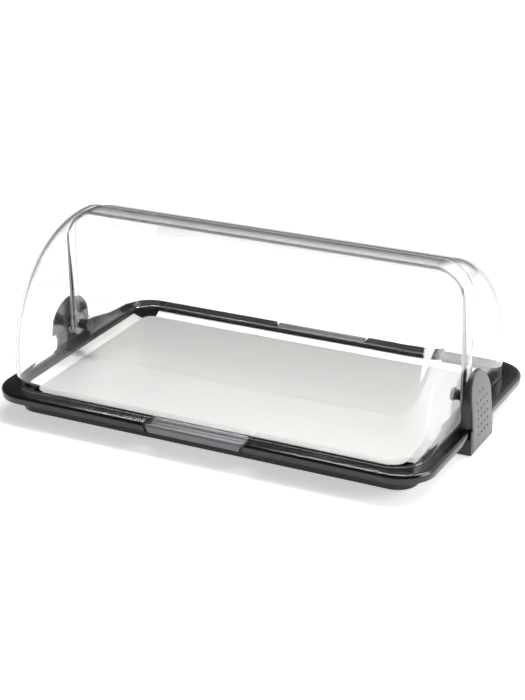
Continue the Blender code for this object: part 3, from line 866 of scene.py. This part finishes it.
def grip_section(steps):
    """The grip's section as (inset, height): tongue, ribbed scoop and outer face."""
    inner = grip_depth - seat_gap
    lip = rim_top - grip_lip_drop
    floor = rim_top - grip_scoop - grip_wall
    scoop_start, scoop_end = inner - grip_wall, grip_wall
    points = [(inner, rim_top)]
    for index in range(steps + 1):
        share = index / steps
        dip = math.sin(HALF_TURN * share) * grip_scoop
        rib = grip_rib * (0.5 - 0.5 * math.cos(2 * HALF_TURN * share * grip_rib_count))
        height = rim_top + (lip - rim_top) * share - dip + rib
        points.append((scoop_start + (scoop_end - scoop_start) * share, height))
    points += arc((grip_wall, lip - grip_wall), grip_wall, QUARTER_TURN, HALF_TURN, 8)[1:]
    points += [
        (lip_draft, lip_bottom),
        (lip_draft + grip_wall, lip_bottom),
        (lip_draft + grip_wall, floor - grip_wall),
        (inner + grip_tongue, floor - grip_wall),
        (inner + grip_tongue, web_bottom - seat_gap),
        (inner, web_bottom - seat_gap),
    ]
    return points


print("grip section of", len(grip_section(48)), "points")

# %% Grips
def grip_mesh(side):
    """One grip, trimmed to its window."""
    section = [(side * (half_depth - inset), height) for inset, height in grip_section(48)]
    reach = grip_half_length + grip_taper
    lean = math.atan2(grip_taper, rim_top - lip_bottom)
    corner = (reach - grip_corner, rim_top - grip_corner)
    right = [(grip_half_length, lip_bottom - overrun), (grip_half_length, lip_bottom)]
    right += arc(corner, grip_corner, -lean, QUARTER_TURN, 8)
    outline = right + [(-u, v) for u, v in reversed(right)]
    near, far = sorted((side * (half_depth - grip_depth - grip_tongue - overrun),
                        side * (half_depth + overrun)))
    mesh = cut(prism("grip", section, -reach, reach, along_x),
               prism("ends", outline, near, far, along_y), "INTERSECT")
    return rounded(mesh, 0.3 * MM, steps=2, angle=50.0)


for side, name in ((-1, "front"), (1, "rear")):
    show(f"{name}_grip_insert", grip_mesh(side), grip_abs, "base", f"{name}_grip")

# %% [markdown]
# ## Feet
# The feet hardly show, so the solids stay and only get their finish.

# %% Finish of the feet
for name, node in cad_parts.items():
    if name.startswith("foot_"):
        node.data.materials.clear()
        node.data.materials.append(foot_rubber)
        node.data.shade_smooth()
        node.data.set_sharp_from_angle(angle=sharp_angle)
print("feet:", sorted(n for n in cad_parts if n.startswith("foot_")))

# %% [markdown]
# ## Table and light
# The picture is a catalogue one. Clear things are often shown on a table of white acrylic that is
# lit from below as well, so that the ground stays white and every shadow stays light. We give the
# table a little light of its own for that. The room is dim but for one side, and a big softbox
# hangs behind the case. It draws the bright line along the rim's rounded edge and shines in the
# tray. A small softbox at the right lights the ear's face.

# %% Light table
table_glow = 0.53
floor_mesh = box("floor", (-8.0, -8.0, -0.02), (8.0, 8.0, 0.0))
floor = bpy.data.objects.new("white_table", floor_mesh)
bpy.context.scene.collection.objects.link(floor)
table_white, tree, shader = new_finish("backlit_white_acrylic", "#f2f2f2", 0.6)
shader.inputs["Specular IOR Level"].default_value = 0.2
shader.inputs["Emission Color"].default_value = (1.0, 1.0, 1.0, 1.0)
shader.inputs["Emission Strength"].default_value = table_glow
table_white.cycles.emission_sampling = "NONE"
floor_mesh.materials.append(table_white)
print("table glows with", table_glow, "of white")

# %% Room and softbox
dim_room, bright_room, horizon_glow = 0.12, 1.2, 0.5
bright_heading = math.radians(40)

world = bpy.data.worlds.new("studio")
bpy.context.scene.world = world
world.use_nodes = True
tree = world.node_tree
direction = add_node(tree, "ShaderNodeTexCoord")
toward = add_node(tree, "ShaderNodeVectorMath", {"operation": "DOT_PRODUCT"},
                  {0: direction.outputs["Generated"]})
toward.inputs[1].default_value = (math.sin(bright_heading), math.cos(bright_heading), 0.0)
room = add_node(tree, "ShaderNodeMapRange",
                {"interpolation_type": "SMOOTHSTEP", "From Min": 0.42, "From Max": 0.75,
                 "To Min": dim_room, "To Max": bright_room}, {"Value": toward.outputs["Value"]})
height = add_node(tree, "ShaderNodeSeparateXYZ", links={"Vector": direction.outputs["Generated"]})
rise = add_node(tree, "ShaderNodeMapRange",
                {"interpolation_type": "SMOOTHSTEP", "From Min": 0.0, "From Max": 0.3},
                {"Value": height.outputs["Z"]})
glow = add_node(tree, "ShaderNodeMix", {"data_type": "FLOAT"},
                {0: rise.outputs["Result"], 3: room.outputs["Result"]})
glow.inputs[2].default_value = horizon_glow
background = tree.nodes["Background"]
background.inputs["Color"].default_value = (1.0, 1.0, 1.0, 1.0)
tree.links.new(glow.outputs[0], background.inputs["Strength"])


def softbox(name, place, aim, width, length, radiance):
    """A light panel that faces a point; its radiance is 1 where it looks just white."""
    light = bpy.data.lights.new(name, "AREA")
    light.shape = "RECTANGLE"
    light.size = width
    light.size_y = length
    light.energy = radiance * math.pi * width * length
    lamp = bpy.data.objects.new(name, light)
    lamp.location = place
    away = (Vector(place) - Vector(aim)).normalized()
    across = Vector((0, 1, 0)).cross(away).normalized()
    lamp.rotation_euler = Matrix((across, away.cross(across), away)).transposed().to_euler()
    bpy.context.scene.collection.objects.link(lamp)


softbox("back_softbox", (-0.1, 1.85, 3.0), (-0.1, 1.85, 0.0), 3.8, 1.1, 8.0)
softbox("right_softbox", (1.3, 0.1, 0.5), (0.28, 0.0, 0.1), 0.6, 0.6, 8.0)

# %% [markdown]
# ## Camera
# The camera's place, tilt and lens were worked out from the picture: a long lens, from the front
# right, looking down by about 23 degrees. Its roll is under a degree.

# %% Camera
azimuth, elevation, roll = math.radians(27.2299), math.radians(22.8693), math.radians(-0.6972)
distance = 2152.4945 * MM
focal_pixels, frame_height = 1789.2744, 700
back = Vector((math.sin(azimuth) * math.cos(elevation), -math.cos(azimuth) * math.cos(elevation),
               math.sin(elevation)))
right = (-back).cross(Vector((0, 0, 1))).normalized()
up = right.cross(-back)
target = Vector((0, 0, 60 * MM)) + right * (0.8334 * MM) + up * (6.4351 * MM)
level_right = right * math.cos(roll) + up * math.sin(roll)
level_up = up * math.cos(roll) - right * math.sin(roll)
turn = Matrix((level_right, level_up, back)).transposed()

lens = bpy.data.cameras.new("catalogue_camera")
lens.sensor_width = 36.0
lens.lens = focal_pixels / frame_height * lens.sensor_width
lens.clip_end = 100.0
camera = bpy.data.objects.new("catalogue_camera", lens)
camera.matrix_world = Matrix.Translation(target + back * distance) @ turn.to_4x4()
bpy.context.scene.collection.objects.link(camera)
bpy.context.scene.camera = camera
bpy.context.scene.view_settings.view_transform = "Standard"
print("lens", round(lens.lens, 1), "mm")
